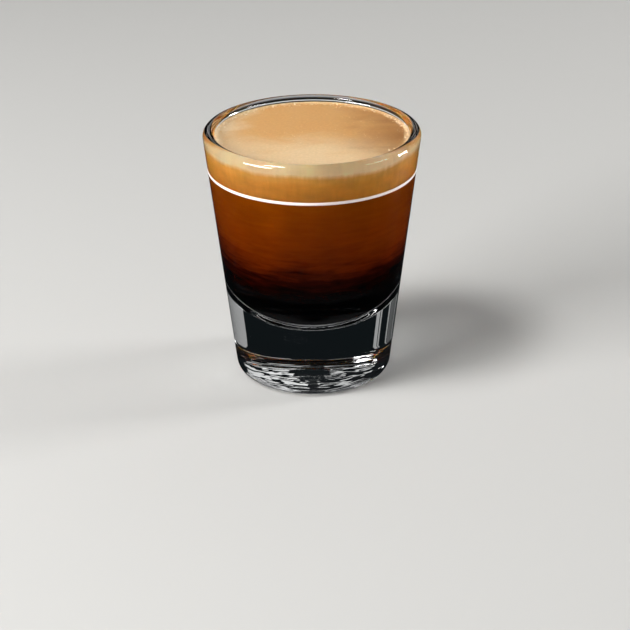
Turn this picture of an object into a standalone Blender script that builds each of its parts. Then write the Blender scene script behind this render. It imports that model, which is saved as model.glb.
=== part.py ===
# Espresso shot: a heavy-based shot glass with a fired enamel fill line,
# filled almost to its lip with coffee under a deep layer of crema.
# Every piece is turned about the upright axis. The glass stands on z = 0. Metres.

import math

import bmesh
import bpy

MM = 0.001

# Outside of the glass
HEIGHT = 61.1 * MM
MOUTH_RADIUS = 25.5 * MM
FOOT_RADIUS = 18.85 * MM
HEEL_ROUND = 2.5 * MM
LIP_ROUND = 1.4 * MM  # half of the wall at the mouth

# Underside: a flat ring to stand on, round a shallow hollow
REST_RING_INNER_RADIUS = 11.5 * MM
UNDERSIDE_HOLLOW = 0.8 * MM

# Inside of the glass: a bowl-shaped floor that sweeps up into the wall
FLOOR_THICKNESS = 14.2 * MM
FLOOR_DISH_RADIUS = 26.0 * MM
CAVITY_RADIUS = 17.5 * MM
CORNER_ROUND = 14.0 * MM

# Drink: levels measured up from the table
COFFEE_LEVEL = 51.2 * MM
CREMA_LEVEL = 59.4 * MM
MENISCUS_RISE = 0.4 * MM
MENISCUS_WIDTH = 1.4 * MM

# Fill line: a raised band of enamel round the outside
LINE_LEVEL = 51.9 * MM
LINE_HEIGHT = 0.7 * MM
LINE_THICKNESS = 0.25 * MM

GAP = 0.3 * MM  # clearance between pieces that touch
TURN_STEPS = 72
SHARP_ANGLE = math.radians(35)

GLASS_IOR = 1.5
PALETTE = {
    "glass": {"color": (0.93, 0.96, 0.95), "roughness": 0.02, "transmission": 1.0},
    "coffee": {"color": (0.095, 0.027, 0.004), "roughness": 0.12, "transmission": 0.0},
    "crema": {"color": (0.58, 0.33, 0.12), "roughness": 0.45, "transmission": 0.0},
    "enamel": {"color": (0.82, 0.78, 0.75), "roughness": 0.3, "transmission": 0.0},
}


def arc(center, radius, start, end, steps):
    """Points (r, z) along an arc, both ends included."""
    angles = [start + (end - start) * i / steps for i in range(steps + 1)]
    return [(center[0] + radius * math.cos(a), center[1] + radius * math.sin(a)) for a in angles]


def shared_normal(first, first_radius, second, second_radius, side):
    """Angle of the normal of the straight line that touches two circles.

    A circle whose centre lies on the open side of the line has a negative radius.
    """
    dr = second[0] - first[0]
    dz = second[1] - first[1]
    spread = math.acos((first_radius - second_radius) / math.hypot(dr, dz))
    return math.atan2(dz, dr) + side * spread


HEEL_CENTER = (FOOT_RADIUS - HEEL_ROUND, HEEL_ROUND)
LIP_CENTER = (MOUTH_RADIUS - LIP_ROUND, HEIGHT - LIP_ROUND)

DISH_CENTER = (0.0, FLOOR_THICKNESS + FLOOR_DISH_RADIUS)
CORNER_CENTER_RADIUS = CAVITY_RADIUS - CORNER_ROUND
CORNER_DEPTH = math.sqrt((FLOOR_DISH_RADIUS - CORNER_ROUND) ** 2 - CORNER_CENTER_RADIUS ** 2)
CORNER_CENTER = (CORNER_CENTER_RADIUS, DISH_CENTER[1] - CORNER_DEPTH)
DISH_END_ANGLE = math.atan2(-CORNER_DEPTH, CORNER_CENTER_RADIUS)

OUTER_NORMAL = shared_normal(HEEL_CENTER, HEEL_ROUND, LIP_CENTER, LIP_ROUND, -1)
INNER_NORMAL = shared_normal(CORNER_CENTER, -CORNER_ROUND, LIP_CENTER, LIP_ROUND, 1)


def outer_radius(z):
    """Radius of the outer wall at height z."""
    top = arc(LIP_CENTER, LIP_ROUND, OUTER_NORMAL, OUTER_NORMAL, 1)[0]
    return top[0] + (top[1] - z) * math.tan(OUTER_NORMAL)


def inner_radius(z, gap):
    """Radius of the inner wall at height z, less a gap square to the wall."""
    top = arc(LIP_CENTER, LIP_ROUND, INNER_NORMAL, INNER_NORMAL, 1)[0]
    return top[0] + (top[1] - z) * math.tan(INNER_NORMAL) - gap / abs(math.cos(INNER_NORMAL))


def cavity_floor(gap):
    """Dish and corner of the cavity, from the axis to the foot of the inner wall."""
    corner_end = INNER_NORMAL - math.pi
    dish = arc(DISH_CENTER, FLOOR_DISH_RADIUS - gap, -math.pi / 2, DISH_END_ANGLE, 4)
    corner = arc(CORNER_CENTER, CORNER_ROUND - gap, DISH_END_ANGLE, corner_end, 12)
    return dish + corner[1:]


def turned_piece(name, outline, closed, material):
    """Turn an outline of (r, z) points about +Z into one closed body."""
    bm = bmesh.new()
    verts = [bm.verts.new((r, 0.0, z)) for r, z in outline]
    edges = [bm.edges.new(pair) for pair in zip(verts, verts[1:])]
    if closed:
        edges.append(bm.edges.new((verts[-1], verts[0])))
    bmesh.ops.spin(bm, geom=verts + edges, cent=(0, 0, 0), axis=(0, 0, 1),
                   angle=2 * math.pi, steps=TURN_STEPS, use_merge=True)
    bmesh.ops.remove_doubles(bm, verts=bm.verts, dist=0.001 * MM)
    bmesh.ops.recalc_face_normals(bm, faces=bm.faces)

    mesh = bpy.data.meshes.new(name)
    bm.to_mesh(mesh)
    bm.free()
    mesh.shade_smooth()
    mesh.set_sharp_from_angle(angle=SHARP_ANGLE)
    mesh.materials.append(material)
    piece = bpy.data.objects.new(name, mesh)
    bpy.context.collection.objects.link(piece)
    return piece


def principled(name):
    """Material from the palette."""
    look = PALETTE[name]
    material = bpy.data.materials.new(name)
    material.use_nodes = True
    shader = material.node_tree.nodes["Principled BSDF"]
    shader.inputs["Base Color"].default_value = (*look["color"], 1.0)
    shader.inputs["Roughness"].default_value = look["roughness"]
    shader.inputs["Metallic"].default_value = 0.0
    shader.inputs["Transmission Weight"].default_value = look["transmission"]
    shader.inputs["IOR"].default_value = GLASS_IOR
    return material


def glass_outline():
    """Outline from the hollow underside, round the heel, up over the lip and down inside."""
    hollow_radius = (REST_RING_INNER_RADIUS ** 2 + UNDERSIDE_HOLLOW ** 2) / (2 * UNDERSIDE_HOLLOW)
    hollow_center = (0.0, UNDERSIDE_HOLLOW - hollow_radius)
    hollow_edge = math.atan2(-hollow_center[1], REST_RING_INNER_RADIUS)
    hollow = arc(hollow_center, hollow_radius, math.pi / 2, hollow_edge, 4)
    heel = arc(HEEL_CENTER, HEEL_ROUND, -math.pi / 2, OUTER_NORMAL, 8)
    lip = arc(LIP_CENTER, LIP_ROUND, OUTER_NORMAL, INNER_NORMAL, 14)
    return hollow + heel + lip + cavity_floor(0.0)[::-1]


def coffee_outline():
    """Coffee fills the cavity from its floor up to a flat top under the crema."""
    top = COFFEE_LEVEL - GAP / 2
    return cavity_floor(GAP) + [(inner_radius(top, GAP), top), (0.0, top)]


def crema_outline():
    """Crema lies on the coffee, and its rim climbs the wall a little."""
    bottom = COFFEE_LEVEL + GAP / 2
    edge_level = CREMA_LEVEL + MENISCUS_RISE
    edge_radius = inner_radius(edge_level, GAP)
    outline = [(0.0, bottom), (inner_radius(bottom, GAP), bottom)]
    steps = 5
    for i in range(steps + 1):
        inward = i / steps
        rise = MENISCUS_RISE * (1 - inward) ** 2
        outline.append((edge_radius - MENISCUS_WIDTH * inward, CREMA_LEVEL + rise))
    return outline + [(0.0, CREMA_LEVEL)]


def line_outline():
    """Section of the enamel band, which follows the slope of the wall."""
    low = LINE_LEVEL - LINE_HEIGHT / 2
    high = LINE_LEVEL + LINE_HEIGHT / 2
    near = GAP
    far = GAP + LINE_THICKNESS
    return [
        (outer_radius(low) + near, low),
        (outer_radius(low) + far, low),
        (outer_radius(high) + far, high),
        (outer_radius(high) + near, high),
    ]


def build_espresso_shot():
    for old in list(bpy.data.objects):
        bpy.data.objects.remove(old, do_unlink=True)

    whole = bpy.data.objects.new("espresso_shot", None)
    bpy.context.collection.objects.link(whole)
    pieces = [
        turned_piece("glass", glass_outline(), False, principled("glass")),
        turned_piece("coffee", coffee_outline(), False, principled("coffee")),
        turned_piece("crema", crema_outline(), False, principled("crema")),
        turned_piece("fill_line", line_outline(), True, principled("enamel")),
    ]
    for piece in pieces:
        piece.parent = whole


build_espresso_shot()
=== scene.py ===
import math
import random

import bmesh
import bpy
from mathutils import Matrix, Vector
from mathutils import noise as mathNoise


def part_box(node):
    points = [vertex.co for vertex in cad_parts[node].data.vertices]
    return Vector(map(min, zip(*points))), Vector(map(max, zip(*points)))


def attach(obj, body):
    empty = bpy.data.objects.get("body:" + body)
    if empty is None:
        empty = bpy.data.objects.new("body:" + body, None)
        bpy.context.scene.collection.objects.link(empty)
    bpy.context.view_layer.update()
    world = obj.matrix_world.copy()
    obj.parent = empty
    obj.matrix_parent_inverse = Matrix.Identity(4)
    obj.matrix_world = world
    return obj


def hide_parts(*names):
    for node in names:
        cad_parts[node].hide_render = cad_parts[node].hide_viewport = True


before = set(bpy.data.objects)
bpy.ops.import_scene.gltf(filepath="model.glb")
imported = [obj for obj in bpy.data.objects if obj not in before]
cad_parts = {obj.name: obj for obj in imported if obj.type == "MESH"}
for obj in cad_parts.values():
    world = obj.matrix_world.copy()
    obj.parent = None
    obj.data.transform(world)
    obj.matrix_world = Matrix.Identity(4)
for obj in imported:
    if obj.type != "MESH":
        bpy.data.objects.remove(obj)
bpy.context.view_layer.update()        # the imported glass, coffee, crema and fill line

mm = 0.001
fullTurn = 2 * math.pi

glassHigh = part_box("glass")[1]
coffeeLow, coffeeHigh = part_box("coffee")
cremaLow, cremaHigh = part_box("crema")
lineLow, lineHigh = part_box("fill_line")
print("frame loaded: glass", round(glassHigh.z / mm, 1), "mm high")


# Camera: found from the rim, the sides and the fill line in the photo

cameraSetup = {
    "aim": (0.44 * mm, 0.0, 12.8 * mm),
    "distance": 450 * mm,
    "lookDown": 25.54,         # degrees
    "roll": -0.39,             # degrees
    "pictureWidth": 630,       # pixels
    "focalPixels": 1841.8,
    "sensorWidth": 36.0,
    "sees": (10 * mm, 10.0),   # nearest and farthest
}


def makeCamera(setup):
    data = bpy.data.cameras.new("camera")
    data.sensor_width = setup["sensorWidth"]
    data.lens = setup["focalPixels"] * setup["sensorWidth"] / setup["pictureWidth"]
    data.clip_start, data.clip_end = setup["sees"]
    camera = bpy.data.objects.new("camera", data)
    bpy.context.scene.collection.objects.link(camera)
    down = math.radians(setup["lookDown"])
    roll = Matrix.Rotation(math.radians(setup["roll"]), 4, "Z")
    tilt = Matrix.Rotation(math.pi / 2 - down, 4, "X") @ roll
    back = Vector((0, -math.cos(down), math.sin(down))) * setup["distance"]
    camera.matrix_world = Matrix.Translation(Vector(setup["aim"]) + back) @ tilt
    bpy.context.scene.camera = camera


makeCamera(cameraSetup)
print("camera placed")


# Turned outlines: a point walks along the section in the XZ plane, then the section is spun about Z

weldDistance = 0.00001 * mm


def startOutline(radius, height):
    bm = bmesh.new()
    return bm, bm.verts.new((radius, 0, height))


def straightTo(bm, tip, radius, height, cuts=0):
    start, end = tip.co.copy(), Vector((radius, 0, height))
    for i in range(1, cuts + 2):
        tip = bmesh.ops.extrude_vert_indiv(bm, verts=[tip])["verts"][0]
        tip.co = start.lerp(end, i / (cuts + 1))
    return tip


def roundOff(bm, tip, centre, turn, steps):
    # a positive turn is anticlockwise, with X to the right and Z up
    made = bmesh.ops.spin(bm, geom=[tip], cent=(centre[0], 0, centre[1]), axis=(0, -1, 0),
                          angle=turn, steps=steps)
    return [item for item in made["geom_last"] if isinstance(item, bmesh.types.BMVert)][0]


def turnOutline(bm, name, steps, sharpAngle=None):
    bmesh.ops.remove_doubles(bm, verts=bm.verts, dist=weldDistance)
    bmesh.ops.spin(bm, geom=bm.verts[:] + bm.edges[:], cent=(0, 0, 0), axis=(0, 0, 1),
                   angle=fullTurn, steps=steps, use_merge=True)
    bmesh.ops.remove_doubles(bm, verts=bm.verts, dist=weldDistance)
    bmesh.ops.recalc_face_normals(bm, faces=bm.faces)
    return finishMesh(bm, name, sharpAngle)


def finishMesh(bm, name, sharpAngle=None):
    mesh = bpy.data.meshes.new(name)
    bm.to_mesh(mesh)
    bm.free()
    mesh.shade_smooth()
    if sharpAngle:
        mesh.set_sharp_from_angle(angle=math.radians(sharpAngle))
    piece = bpy.data.objects.new(name, mesh)
    bpy.context.scene.collection.objects.link(piece)
    return piece


def onCircle(centre, radius, angle):
    return centre[0] + radius * math.cos(angle), centre[1] + radius * math.sin(angle)


def wallNormal(first, firstRadius, second, secondRadius, side):
    # the straight wall that touches two rounds; a round that curves the other way has a negative radius
    dr, dz = second[0] - first[0], second[1] - first[1]
    spread = math.acos((firstRadius - secondRadius) / math.hypot(dr, dz))
    return math.atan2(dz, dr) + side * spread


# Node helpers

def newMaterial(name):
    material = bpy.data.materials.new(name)
    material.use_nodes = True
    nodes = material.node_tree.nodes
    return material, nodes, material.node_tree.links, nodes["Principled BSDF"]


def addNode(nodes, kind, **values):
    # a value named in_Scale goes to the socket Scale
    node = nodes.new(kind)
    for key, value in values.items():
        if key.startswith("in_"):
            node.inputs[key[3:].replace("_", " ")].default_value = value
        else:
            setattr(node, key, value)
    return node


def objectPlace(nodes):
    return addNode(nodes, "ShaderNodeTexCoord").outputs["Object"]


def splitXYZ(nodes, links, place):
    split = addNode(nodes, "ShaderNodeSeparateXYZ")
    links.new(place, split.inputs[0])
    return split.outputs


def stretched(nodes, links, place, scale):
    mapping = addNode(nodes, "ShaderNodeMapping", in_Scale=scale)
    links.new(place, mapping.inputs["Vector"])
    return mapping.outputs["Vector"]


def noise(nodes, links, place, scale, detail=2.0, roughness=0.5, distortion=0.0):
    # three scales, along X, Y and Z, stretch the pattern
    if isinstance(scale, tuple):
        place = stretched(nodes, links, place, scale)
        scale = 1.0
    node = addNode(nodes, "ShaderNodeTexNoise", in_Scale=scale, in_Detail=detail,
                   in_Roughness=roughness, in_Distortion=distortion)
    links.new(place, node.inputs["Vector"])
    return node.outputs["Fac"]


def mathNode(nodes, links, operation, *values):
    node = addNode(nodes, "ShaderNodeMath", operation=operation)
    for socket, value in zip(node.inputs, values):
        if isinstance(value, (int, float)):
            socket.default_value = value
        else:
            links.new(value, socket)
    return node.outputs[0]


def wander(nodes, links, pattern, reach):
    # turns a pattern of 0 to 1 into one of -reach to reach
    return mathNode(nodes, links, "MULTIPLY_ADD", pattern, 2 * reach, -reach)


def remap(nodes, links, value, low, high, newLow=0.0, newHigh=1.0, smooth=False):
    node = addNode(nodes, "ShaderNodeMapRange", in_From_Min=low, in_From_Max=high,
                   in_To_Min=newLow, in_To_Max=newHigh)
    if smooth:
        node.interpolation_type = "SMOOTHSTEP"
    links.new(value, node.inputs["Value"])
    return node.outputs["Result"]


def colorRamp(nodes, links, value, stops):
    node = addNode(nodes, "ShaderNodeValToRGB")
    elements = node.color_ramp.elements
    while len(elements) < len(stops):
        elements.new(1.0)
    for element, (position, color) in zip(elements, stops):
        element.position = position
        element.color = (*color, 1)
    links.new(value, node.inputs["Fac"])
    return node.outputs["Color"]


def mixColor(nodes, links, amount, first, second, blend="MIX"):
    node = addNode(nodes, "ShaderNodeMix", data_type="RGBA", blend_type=blend)
    factor, one, two = node.inputs[0], node.inputs[6], node.inputs[7]
    for socket, value in ((factor, amount), (one, first), (two, second)):
        if isinstance(value, tuple):
            socket.default_value = (*value, 1)
        elif isinstance(value, (int, float)):
            socket.default_value = value
        else:
            links.new(value, socket)
    return node.outputs[2]


noiseRange = (0.3, 0.7)        # most of a noise lies between these


def mottled(nodes, links, color, pattern, shades):
    shade = remap(nodes, links, pattern, *noiseRange, *shades)
    return mixColor(nodes, links, 1.0, color, shade, "MULTIPLY")


def bumpInto(nodes, links, shader, height, depth, strength):
    bump = addNode(nodes, "ShaderNodeBump", in_Strength=strength, in_Distance=depth)
    links.new(height, bump.inputs["Height"])
    links.new(bump.outputs["Normal"], shader.inputs["Normal"])


# Glass: its shape is also what the drink and the line are fitted to

glassSetup = {
    "lipRound": 1.4 * mm,
    "heelRound": 2.5 * mm,
    "footRadius": 18.85 * mm,
    "ringInner": 11.5 * mm,       # the flat ring under the foot starts here
    "hollow": 0.8 * mm,
    "cavityRadius": 17.5 * mm,
    "cornerRound": 14.0 * mm,
    "dishRadius": 26.0 * mm,
    "drinkGap": 0.3 * mm,         # what the solids leave between glass and drink
    "turnSteps": 192,
    "arcSteps": {"hollow": 40, "heel": 24, "lip": 36, "corner": 18, "dish": 10},
    "cuts": {"ring": 18, "outside": 30, "inside": 24},
    "rippleTop": 3.4 * mm,        # the foot is rippled up to here
    "rippleFade": 1.5 * mm,       # from nothing to full over this height
    "rippleBreaks": 2.2,          # how often the rings are broken
    "rippleRing": 1.3 * mm,
    "rippleWave": 4.5 * mm,
    "waveShare": 0.6,
    "rippleDepth": 0.05 * mm,
    "tint": (0.985, 0.995, 0.99, 1),
    "ior": 1.5,
    "pressScale": (190, 190, 66.5),
    "pressDepth": 0.03 * mm,
    "pressStrength": 0.6,
}

g = glassSetup
mouthRadius = glassHigh.x
floorLevel = coffeeLow.z - g["drinkGap"]
heelCentre = (g["footRadius"] - g["heelRound"], g["heelRound"])
lipCentre = (mouthRadius - g["lipRound"], glassHigh.z - g["lipRound"])
dishCentre = (0.0, floorLevel + g["dishRadius"])
cornerReach = g["cavityRadius"] - g["cornerRound"]
cornerDrop = math.sqrt((g["dishRadius"] - g["cornerRound"]) ** 2 - cornerReach ** 2)
cornerCentre = (cornerReach, dishCentre[1] - cornerDrop)
dishEnd = math.atan2(-cornerDrop, cornerReach)
outerNormal = wallNormal(heelCentre, g["heelRound"], lipCentre, g["lipRound"], -1)
innerNormal = wallNormal(cornerCentre, -g["cornerRound"], lipCentre, g["lipRound"], 1)


def outerRadius(z):
    r, top = onCircle(lipCentre, g["lipRound"], outerNormal)
    return r + (top - z) * math.tan(outerNormal)


def innerRadius(z, gap=0.0):
    r, top = onCircle(lipCentre, g["lipRound"], innerNormal)
    return r + (top - z) * math.tan(innerNormal) - gap / abs(math.cos(innerNormal))


def makeGlass():
    arcs, cuts = g["arcSteps"], g["cuts"]
    hollowRadius = (g["ringInner"] ** 2 + g["hollow"] ** 2) / (2 * g["hollow"])
    hollowCentre = (0.0, g["hollow"] - hollowRadius)
    hollowTurn = math.atan2(-hollowCentre[1], g["ringInner"]) - math.pi / 2
    # from the middle of the underside, round the heel, up over the lip and down to the floor of the cavity
    bm, tip = startOutline(0.0, g["hollow"])
    tip = roundOff(bm, tip, hollowCentre, hollowTurn, arcs["hollow"])
    tip = straightTo(bm, tip, heelCentre[0], 0.0, cuts["ring"])
    tip = roundOff(bm, tip, heelCentre, outerNormal + math.pi / 2, arcs["heel"])
    tip = straightTo(bm, tip, *onCircle(lipCentre, g["lipRound"], outerNormal), cuts["outside"])
    tip = roundOff(bm, tip, lipCentre, innerNormal - outerNormal, arcs["lip"])
    tip = straightTo(bm, tip, *onCircle(cornerCentre, -g["cornerRound"], innerNormal), cuts["inside"])
    tip = roundOff(bm, tip, cornerCentre, dishEnd + math.pi - innerNormal, arcs["corner"])
    roundOff(bm, tip, dishCentre, -math.pi / 2 - dishEnd, arcs["dish"])
    return turnOutline(bm, "clearGlass", g["turnSteps"])


def rippleFoot(tumbler):
    # the pressed foot is rippled: fine rings, broken up, over slow waves
    breaks = g["rippleBreaks"]
    nearAxis = 0.1 * mm
    for vertex in tumbler.data.vertices:
        x, y, z = vertex.co
        out = math.hypot(x, y)
        fade = min(max((g["rippleTop"] - z) / g["rippleFade"], 0), 1)
        if fade > 0 and out > nearAxis:
            rings = mathNoise.noise(Vector((breaks * x / out, breaks * y / out, out / g["rippleRing"])))
            waves = mathNoise.noise(Vector((x, y, 2 * z)) / g["rippleWave"])
            depth = g["rippleDepth"] * fade * (rings + g["waveShare"] * waves)
            vertex.co = (x - x / out * depth, y - y / out * depth, z + abs(depth))


def glassMaterial():
    material, nodes, links, shader = newMaterial("clear soda glass")
    shader.inputs["Base Color"].default_value = g["tint"]
    shader.inputs["Roughness"].default_value = 0.0
    shader.inputs["Transmission Weight"].default_value = 1.0
    shader.inputs["IOR"].default_value = g["ior"]
    # faint upright ripples left by pressing
    ripple = noise(nodes, links, objectPlace(nodes), g["pressScale"], detail=1)
    bumpInto(nodes, links, shader, ripple, g["pressDepth"], g["pressStrength"])
    return material


glass = makeGlass()
rippleFoot(glass)
glass.data.materials.append(glassMaterial())
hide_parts("glass")
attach(glass, "root")
print("glass turned:", len(glass.data.polygons), "faces")


# Coffee

coffeeSetup = {
    "intoWall": 0.06 * mm,        # reaches into the glass, so that no air gap shows
    "turnSteps": 144,
    "sharpAngle": 40,
    "arcSteps": {"dish": 10, "corner": 16},
    "cuts": {"wall": 24, "top": 4},
    "blackBelow": 24.5 * mm,
    "wispSlow": 3 * mm,           # how far slow and fine wisps move the brown up and down
    "wispFine": 4 * mm,
    "slowScale": (60, 60, 150),
    "fineScale": (150, 150, 900),
    "cloudScale": (70, 70, 25),
    "cloudShades": (0.82, 1.12),
    "browns": [                   # from blackBelow up to the crema
        (0.0, (0.0007, 0.0001, 0.0)),
        (0.12, (0.0065, 0.0003, 0.0)),
        (0.22, (0.026, 0.0018, 0.0001)),
        (0.33, (0.088, 0.0100, 0.0002)),
        (0.46, (0.165, 0.0215, 0.0004)),
        (0.62, (0.228, 0.0350, 0.0005)),
        (1.0, (0.300, 0.0600, 0.0007)),
    ],
    "mirrorFrom": (0.54, 0.60),   # 1 less the cosine of the angle, from none to all
    "mirrorColor": (0.9, 0.9, 0.9),
    "roughness": 0.04,
    "specular": 0.05,
}


def makeCoffee():
    arcs, cuts = coffeeSetup["arcSteps"], coffeeSetup["cuts"]
    gap = -coffeeSetup["intoWall"]
    top = coffeeHigh.z + g["drinkGap"] / 2
    bm, tip = startOutline(0.0, floorLevel + gap)
    tip = roundOff(bm, tip, dishCentre, dishEnd + math.pi / 2, arcs["dish"])
    tip = roundOff(bm, tip, cornerCentre, innerNormal - math.pi - dishEnd, arcs["corner"])
    tip = straightTo(bm, tip, innerRadius(top, gap), top, cuts["wall"])
    straightTo(bm, tip, 0.0, top, cuts["top"])
    return turnOutline(bm, "espresso", coffeeSetup["turnSteps"], coffeeSetup["sharpAngle"])


def coffeeMaterial():
    c = coffeeSetup
    material, nodes, links, shader = newMaterial("espresso")
    place = objectPlace(nodes)
    # the brown fades to black lower down, in wavy level wisps
    slow = noise(nodes, links, place, c["slowScale"])
    fine = noise(nodes, links, place, c["fineScale"], detail=3, distortion=0.6)
    height = splitXYZ(nodes, links, place)["Z"]
    height = mathNode(nodes, links, "ADD", height, wander(nodes, links, slow, c["wispSlow"]))
    height = mathNode(nodes, links, "ADD", height, wander(nodes, links, fine, c["wispFine"]))
    brownness = remap(nodes, links, height, c["blackBelow"], coffeeHigh.z)
    brown = colorRamp(nodes, links, brownness, c["browns"])
    # slow cloudiness round the glass
    cloud = noise(nodes, links, place, c["cloudScale"])
    brown = mottled(nodes, links, brown, cloud, c["cloudShades"])
    # from inside the glass, wet coffee is a mirror at a glancing angle
    glance = addNode(nodes, "ShaderNodeLayerWeight", in_Blend=0.5)
    mirror = remap(nodes, links, glance.outputs["Facing"], *c["mirrorFrom"], smooth=True)
    color = mixColor(nodes, links, mirror, brown, c["mirrorColor"])
    links.new(color, shader.inputs["Base Color"])
    links.new(mirror, shader.inputs["Metallic"])
    shader.inputs["Roughness"].default_value = c["roughness"]
    shader.inputs["Specular IOR Level"].default_value = c["specular"]
    return material


coffee = makeCoffee()
coffee.data.materials.append(coffeeMaterial())
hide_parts("coffee")
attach(coffee, "root")
print("coffee poured")


# Crema

cremaSetup = {
    "intoWall": 0.06 * mm,
    "turnSteps": 216,
    "sharpAngle": 40,
    "cuts": {"side": 16, "edge": 12, "top": 44},
    "edgeRise": 0.4 * mm,
    "edgeWidth": 1.4 * mm,
    "swell": 0.07 * mm,                 # how far the top is out of flat
    "slowSwell": 7 * mm,
    "fineSwell": 0.9 * mm,
    "fineShare": (0.12, 0.9),           # of the fine swell: everywhere, and added at the wall
    "fineRise": 8,                      # how steeply that grows towards the wall
    "tan": (0.585, 0.31, 0.102),
    # the pale tone is also the painted sheen on the front of the top
    "pale": (0.69, 0.49, 0.275),
    "rust": (0.31, 0.12, 0.018),
    "sheenFrom": (-3 * mm, 14 * mm),     # how far to the front the top turns pale, a painted sheen
    "rustFrom": (5 * mm, 25 * mm),      # how far to the right it turns rusty
    "creamFrom": (13 * mm, 22 * mm),    # how far to the left it turns pale again
    "drift": 11 * mm,                   # how far these borders wander
    "driftScale": (85, 130, 60),
    "fuzzFrom": (21.2 * mm, 23.4 * mm),     # between these radii the edge turns pale
    "fuzzWander": 1.6 * mm,
    "fuzzShare": 0.7,
    "fuzzScale": 900,
    "fleckScale": 1500,
    "fleckShades": (0.94, 1.05),
    "sideTones": [                      # golden below, and above it a cream band of painted light from the lip
        (0.0, (0.66, 0.27, 0.03)),
        (0.5, (0.80, 0.36, 0.05)),
        (0.70, (0.84, 0.43, 0.09)),
        # the cream band near the top is painted light that comes in through the lip
        (0.83, (1.0, 0.76, 0.45)),
        (1.0, (0.97, 0.73, 0.45)),
    ],
    "streakScale": (1100, 1100, 60),
    "streakWander": 0.35 * mm,
    "streakShades": (0.95, 1.03),
    "unevenScale": (110, 110, 40),
    "unevenWander": 0.7 * mm,
    "milkScale": (260, 260, 500),
    "milkShades": (0.9, 1.08),
    "topFrom": (0.3, 0.6),              # how far up a face looks, from side tones to top tones
    "roughness": 0.42,
    "glowRadius": (1.0, 0.85, 0.7),     # how far red, green and blue light spread in the foam
    "glowDepth": 0.9 * mm,
    "frothScale": 3200,
    "frothDepth": 0.03 * mm,
    "frothStrength": 0.5,
}

cremaEdge = cremaHigh.z
cremaFlat = cremaEdge - cremaSetup["edgeRise"]


def edgeLevel(radius):
    # the rim of the foam climbs the wall
    inward = (innerRadius(cremaEdge) - radius) / cremaSetup["edgeWidth"]
    return cremaFlat + cremaSetup["edgeRise"] * (1 - min(max(inward, 0), 1)) ** 2


def makeCrema():
    cuts = cremaSetup["cuts"]
    gap = -cremaSetup["intoWall"]
    bottom = coffeeHigh.z + g["drinkGap"] / 2
    rim = innerRadius(cremaEdge, gap)
    bm, tip = startOutline(0.0, bottom)
    tip = straightTo(bm, tip, innerRadius(bottom, gap), bottom)
    tip = straightTo(bm, tip, rim, cremaEdge, cuts["side"])
    for i in range(1, cuts["edge"] + 1):
        radius = rim - cremaSetup["edgeWidth"] * i / cuts["edge"]
        tip = straightTo(bm, tip, radius, edgeLevel(radius))
    straightTo(bm, tip, 0.0, cremaFlat, cuts["top"])
    foam = turnOutline(bm, "cremaFoam", cremaSetup["turnSteps"], cremaSetup["sharpAngle"])
    swellTop(foam, rim)
    return foam


def swellTop(foam, rim):
    # the top is a little uneven, most of all near the wall, and never rises at the wall itself
    swell = cremaSetup["swell"]
    everywhere, atWall = cremaSetup["fineShare"]
    topFrom = cremaFlat - 0.01 * mm
    wallFrom = 0.985
    for vertex in foam.data.vertices:
        if vertex.co.z > topFrom:
            x, y = vertex.co.x, vertex.co.y
            out = math.hypot(x, y) / rim
            slow = mathNoise.noise(Vector((x, y, 0)) / cremaSetup["slowSwell"])
            fine = mathNoise.noise(Vector((x, y, 3 * mm)) / cremaSetup["fineSwell"])
            share = everywhere + atWall * out ** cremaSetup["fineRise"]
            lift = slow * swell + fine * swell * share
            vertex.co.z += lift if out < wallFrom else min(lift, 0)


def cremaTop(nodes, links, place):
    # tan, paler to the front in a painted sheen, and rusty to the right, in soft drifts
    c = cremaSetup
    axes = splitXYZ(nodes, links, place)
    drift = noise(nodes, links, place, c["driftScale"], detail=3, distortion=0.5)
    drift = wander(nodes, links, drift, c["drift"])
    toFront = mathNode(nodes, links, "SUBTRACT", drift, axes["Y"])
    toRight = mathNode(nodes, links, "ADD", drift, axes["X"])
    toLeft = mathNode(nodes, links, "MULTIPLY", toRight, -1.0)
    # the paler front is a painted sheen
    pale = remap(nodes, links, toFront, *c["sheenFrom"], smooth=True)
    rust = remap(nodes, links, toRight, *c["rustFrom"], smooth=True)
    cream = remap(nodes, links, toLeft, *c["creamFrom"], smooth=True)
    top = mixColor(nodes, links, pale, c["tan"], c["pale"])
    top = mixColor(nodes, links, rust, top, c["rust"])
    top = mixColor(nodes, links, cream, top, c["pale"])
    # a pale fuzzy edge
    out = addNode(nodes, "ShaderNodeVectorMath", operation="LENGTH")
    links.new(stretched(nodes, links, place, (1, 1, 0)), out.inputs[0])
    speckle = noise(nodes, links, place, c["fuzzScale"], detail=3, roughness=0.7)
    speckle = wander(nodes, links, speckle, c["fuzzWander"])
    ragged = mathNode(nodes, links, "ADD", out.outputs["Value"], speckle)
    fuzz = remap(nodes, links, ragged, *c["fuzzFrom"], 0, c["fuzzShare"], smooth=True)
    top = mixColor(nodes, links, fuzz, top, c["pale"])
    fleck = noise(nodes, links, place, c["fleckScale"])
    return mottled(nodes, links, top, fleck, c["fleckShades"])


def cremaSide(nodes, links, place):
    # golden below and a cream band above, painted light from the lip, with fine upright streaks
    c = cremaSetup
    streaks = noise(nodes, links, place, c["streakScale"])
    uneven = noise(nodes, links, place, c["unevenScale"])
    height = splitXYZ(nodes, links, place)["Z"]
    height = mathNode(nodes, links, "ADD", height, wander(nodes, links, streaks, c["streakWander"]))
    height = mathNode(nodes, links, "ADD", height, wander(nodes, links, uneven, c["unevenWander"]))
    level = remap(nodes, links, height, cremaLow.z, cremaEdge)
    side = colorRamp(nodes, links, level, c["sideTones"])
    milk = noise(nodes, links, place, c["milkScale"], detail=4)
    side = mottled(nodes, links, side, milk, c["milkShades"])
    return mottled(nodes, links, side, streaks, c["streakShades"])


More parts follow.
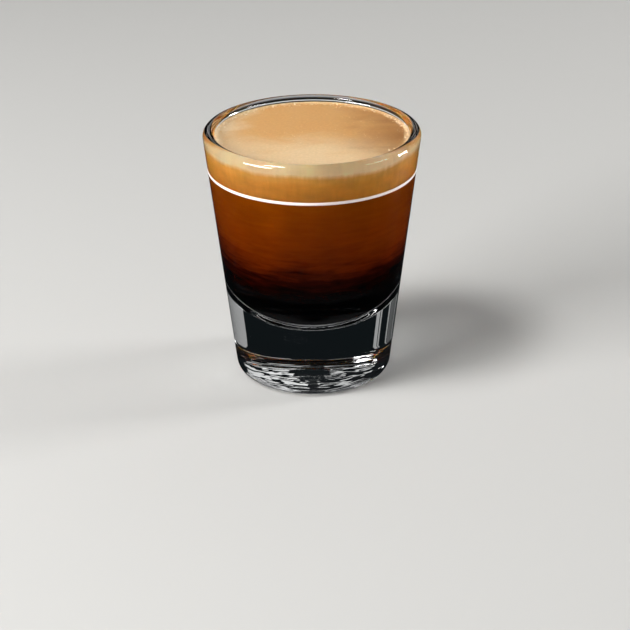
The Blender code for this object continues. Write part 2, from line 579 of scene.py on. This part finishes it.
def cremaMaterial():
    c = cremaSetup
    material, nodes, links, shader = newMaterial("crema")
    place = objectPlace(nodes)
    normal = addNode(nodes, "ShaderNodeTexCoord").outputs["Normal"]
    up = remap(nodes, links, splitXYZ(nodes, links, normal)["Z"], *c["topFrom"])
    color = mixColor(nodes, links, up, cremaSide(nodes, links, place), cremaTop(nodes, links, place))
    links.new(color, shader.inputs["Base Color"])
    shader.inputs["Roughness"].default_value = c["roughness"]
    shader.inputs["Subsurface Weight"].default_value = 1.0
    shader.inputs["Subsurface Radius"].default_value = c["glowRadius"]
    shader.inputs["Subsurface Scale"].default_value = c["glowDepth"]
    froth = noise(nodes, links, place, c["frothScale"], detail=3, roughness=0.6)
    bumpInto(nodes, links, shader, froth, c["frothDepth"], c["frothStrength"])
    return material


crema = makeCrema()
crema.data.materials.append(cremaMaterial())
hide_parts("crema")
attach(crema, "root")
print("crema laid")


# Bubbles on the crema

bubbleSetup = {
    "seed": 11,
    "count": 1400,
    "small": 0.07 * mm,
    "large": 0.24 * mm,
    "rarity": 3,                  # the higher, the fewer large ones
    "flatness": 0.7,              # height of a bubble as a share of its width
    "crowding": 0.45 * mm,        # usual distance from the wall
    "strayEvery": 7,              # one in so many lies anywhere on the top, and is small
    "strayReach": 20 * mm,
    "straySizes": (0.6, 1.3),
    "sunk": (-0.35, 0.15),
    "tones": [(0.35, (0.76, 0.50, 0.25)), (0.65, (0.90, 0.74, 0.50))],
    "toneScale": 700,
    "roughness": 0.2,
}


def makeBubbles():
    b = bubbleSetup
    rng = random.Random(b["seed"])
    seed = bmesh.new()
    bmesh.ops.create_uvsphere(seed, u_segments=8, v_segments=5, radius=1.0)
    ball = bpy.data.meshes.new("bubble")
    seed.to_mesh(ball)
    seed.free()
    bm = bmesh.new()
    for i in range(b["count"]):
        stray = i % b["strayEvery"] == 0
        size = b["small"] + (b["large"] - b["small"]) * rng.random() ** b["rarity"]
        inward = rng.uniform(0, b["strayReach"]) if stray else rng.expovariate(1 / b["crowding"])
        radius = max(innerRadius(cremaEdge) - size - inward, 0)
        if stray:
            size = b["small"] * rng.uniform(*b["straySizes"])
        turn = rng.uniform(0, fullTurn)
        lift = size * rng.uniform(*b["sunk"])
        level = min(edgeLevel(radius) + lift, cremaEdge - size * b["flatness"])
        place = Matrix.Translation((radius * math.cos(turn), radius * math.sin(turn), level))
        bubble = ball.copy()
        bubble.transform(place @ Matrix.Diagonal((size, size, size * b["flatness"], 1)))
        bm.from_mesh(bubble)
        bpy.data.meshes.remove(bubble)
    bpy.data.meshes.remove(ball)
    return finishMesh(bm, "cremaBubbles")


def bubbleMaterial():
    material, nodes, links, shader = newMaterial("crema bubbles")
    tone = noise(nodes, links, objectPlace(nodes), bubbleSetup["toneScale"], detail=1)
    color = colorRamp(nodes, links, tone, bubbleSetup["tones"])
    links.new(color, shader.inputs["Base Color"])
    shader.inputs["Roughness"].default_value = bubbleSetup["roughness"]
    return material


bubbles = makeBubbles()
bubbles.data.materials.append(bubbleMaterial())
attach(bubbles, "root")
print("bubbles scattered:", bubbleSetup["count"])


# Fill line

lineSetup = {
    "thickness": 0.07 * mm,
    "height": 0.7 * mm,
    "sink": 0.02 * mm,            # how far it reaches into the glass
    "shoulder": 0.6,              # share of the thickness at its upper and lower edges
    "turnSteps": 192,
    "sharpAngle": 50,
    "tones": [(0.3, (0.70, 0.58, 0.55)), (0.6, (0.80, 0.70, 0.67))],
    "toneScale": (300, 300, 900),
    "glossScale": 800,
    "roughness": (0.25, 0.45),
    "bumpDepth": 0.02 * mm,
    "bumpStrength": 0.5,
}


def makeLine():
    middle = (lineLow.z + lineHigh.z) / 2
    low, high = middle - lineSetup["height"] / 2, middle + lineSetup["height"] / 2
    sink, proud = lineSetup["sink"], lineSetup["thickness"]
    shoulder = proud * lineSetup["shoulder"]
    bm, first = startOutline(outerRadius(low) - sink, low)
    tip = straightTo(bm, first, outerRadius(low) + shoulder, low)
    tip = straightTo(bm, tip, outerRadius(low) + proud, low + proud)
    tip = straightTo(bm, tip, outerRadius(high) + proud, high - proud)
    tip = straightTo(bm, tip, outerRadius(high) + shoulder, high)
    tip = straightTo(bm, tip, outerRadius(high) - sink, high)
    bm.edges.new((tip, first))
    return turnOutline(bm, "enamelLine", lineSetup["turnSteps"], lineSetup["sharpAngle"])


def enamelMaterial():
    # fired enamel: pinkish white, slightly thin in places, with a soft gloss
    material, nodes, links, shader = newMaterial("white enamel")
    place = objectPlace(nodes)
    cover = noise(nodes, links, place, lineSetup["toneScale"], detail=3)
    links.new(colorRamp(nodes, links, cover, lineSetup["tones"]), shader.inputs["Base Color"])
    gloss = noise(nodes, links, place, lineSetup["glossScale"])
    roughness = remap(nodes, links, gloss, *noiseRange, *lineSetup["roughness"])
    links.new(roughness, shader.inputs["Roughness"])
    bumpInto(nodes, links, shader, gloss, lineSetup["bumpDepth"], lineSetup["bumpStrength"])
    return material


line = makeLine()
line.data.materials.append(enamelMaterial())
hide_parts("fill_line")
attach(line, "root")
print("fill line fired on")


# Studio: pale floor and soft lights

studioSetup = {
    "floorSize": 6.0,
    "wallRadius": 2.8,
    "wallHeight": 3.0,
    "wallSegments": 96,
    "wallGlow": 0.25,
    "floorDrop": 0.02 * mm,       # keeps the floor clear of the foot
    "floorColor": (0.50, 0.495, 0.48, 1),
    "floorRoughness": 0.8,
    "floorSpecular": 0.2,
    "roomTones": [                # from straight down to straight up
        (0.0, (0.005, 0.007, 0.008)),
        (0.02, (0.40, 0.40, 0.41)),
        (0.11, (0.36, 0.36, 0.37)),
        (0.17, (0.005, 0.007, 0.008)),
        (0.5, (0.005, 0.007, 0.008)),
        (1.0, (0.014, 0.015, 0.017)),
    ],
    "lampDistance": 0.9,
}

# azimuth, elevation and size are in degrees; azimuth 0 is the camera's side, and 90 is to the right
softBoxes = {
    "keyLight": dict(azimuth=-61, elevation=62, wide=13, tall=13, glow=35),
    "frontFill": dict(azimuth=-58, elevation=20, wide=30, tall=19, glow=28),
    "sideStrip": dict(azimuth=105, elevation=10, wide=14, tall=18, glow=51),
    "backSheen": dict(azimuth=184, elevation=26, wide=14, tall=10, glow=0.8, seenThrough=False),
    # only mirrored in the glass: the highlight on the right of the lip
    "lipGlint": dict(azimuth=74, elevation=30, wide=24, tall=10, glow=12, seenThrough=False, lights=False),
    # rows of thin lamps, seen as bright lines in the rippled foot
    "footLeft": dict(azimuth=149, elevation=17, wide=38, tall=5, glow=0.8, rows=4, pitch=10.5),
    "footMiddle": dict(azimuth=179, elevation=31, wide=22, tall=1.2, glow=0.12, rows=2, pitch=14),
    "footRight": dict(azimuth=-157, elevation=22, wide=28, tall=3.4, glow=0.55, rows=3, pitch=13),
    # below the table's level: the pale line along the drink's lower edge
    "edgeBack": dict(azimuth=180, elevation=-22.5, wide=44, tall=4, glow=0.85, mirrored=False),
    "edgeLeft": dict(azimuth=-137, elevation=-26, wide=34, tall=5, glow=0.9, mirrored=False),
    "edgeRight": dict(azimuth=118, elevation=-29, wide=32, tall=5, glow=1.1, mirrored=False),
    # below the table's level: pale bands at the sides of the clear base
    "baseLeft": dict(azimuth=121, elevation=-20, wide=32, tall=26, glow=0.36, mirrored=False),
    "baseRight": dict(azimuth=-142.3, elevation=-20, wide=3.2, tall=26, glow=0.34, mirrored=False),
    "baseRightThin": dict(azimuth=-139, elevation=-20, wide=1.6, tall=26, glow=0.34, mirrored=False),
    "baseEdge": dict(azimuth=-128, elevation=-20, wide=2.2, tall=26, glow=0.34, mirrored=False),
    "baseShade": dict(azimuth=-121.5, elevation=-20, wide=9, tall=26, glow=0.11, mirrored=False),
    "baseRim": dict(azimuth=-114, elevation=-20, wide=5, tall=26, glow=0.24, mirrored=False),
}


def stageMaterial(glow):
    material, nodes, links, shader = newMaterial("pale stage")
    shader.inputs["Base Color"].default_value = studioSetup["floorColor"]
    shader.inputs["Roughness"].default_value = studioSetup["floorRoughness"]
    shader.inputs["Specular IOR Level"].default_value = studioSetup["floorSpecular"]
    shader.inputs["Emission Color"].default_value = studioSetup["floorColor"]
    shader.inputs["Emission Strength"].default_value = glow
    return material


def makeStage():
    radius, height = studioSetup["wallRadius"], studioSetup["wallHeight"]
    floorMesh = bmesh.new()
    bmesh.ops.create_grid(floorMesh, x_segments=1, y_segments=1, size=studioSetup["floorSize"] / 2)
    wallMesh = bmesh.new()
    bmesh.ops.create_cone(wallMesh, cap_ends=False, segments=studioSetup["wallSegments"],
                          depth=height, radius1=radius, radius2=radius)
    bmesh.ops.translate(wallMesh, vec=(0, 0, height / 2), verts=wallMesh.verts)
    for bm, name, glow in ((floorMesh, "floor", 0.0), (wallMesh, "backdrop", studioSetup["wallGlow"])):
        bmesh.ops.translate(bm, vec=(0, 0, -studioSetup["floorDrop"]), verts=bm.verts)
        piece = finishMesh(bm, name)
        piece.data.materials.append(stageMaterial(glow))
        # through the glass and in it, only the dim room and the lamps show
        piece.visible_glossy = False
        piece.visible_transmission = False


def makeRoom():
    world = bpy.data.worlds.new("room")
    bpy.context.scene.world = world
    world.use_nodes = True
    nodes, links = world.node_tree.nodes, world.node_tree.links
    way = addNode(nodes, "ShaderNodeTexCoord").outputs["Generated"]
    height = remap(nodes, links, splitXYZ(nodes, links, way)["Z"], -1, 1)
    room = colorRamp(nodes, links, height, studioSetup["roomTones"])
    links.new(room, nodes["Background"].inputs["Color"])


def softBox(name, box, elevation):
    away = studioSetup["lampDistance"]
    data = bpy.data.lights.new(name, "AREA")
    data.shape = "RECTANGLE"
    data.size = 2 * away * math.tan(math.radians(box["wide"] / 2))
    data.size_y = 2 * away * math.tan(math.radians(box["tall"] / 2))
    data.energy = box["glow"] * math.pi * data.size * data.size_y
    lamp = bpy.data.objects.new(name, data)
    bpy.context.scene.collection.objects.link(lamp)
    a, e = math.radians(box["azimuth"]), math.radians(elevation)
    way = Vector((math.sin(a) * math.cos(e), -math.cos(a) * math.cos(e), math.sin(e)))
    turned = way.to_track_quat("Z", "Y").to_matrix().to_4x4()
    lamp.matrix_world = Matrix.Translation(way * away) @ turned
    lamp.visible_transmission = box.get("seenThrough", True)
    lamp.visible_glossy = box.get("mirrored", True)
    lamp.visible_diffuse = box.get("lights", True)
    lamp.visible_camera = False


makeStage()
makeRoom()
for name, box in softBoxes.items():
    for row in range(box.get("rows", 1)):
        softBox(name, box, box["elevation"] + row * box.get("pitch", 0))
bpy.context.scene.view_settings.view_transform = "Standard"
print("lights set:", len(softBoxes))
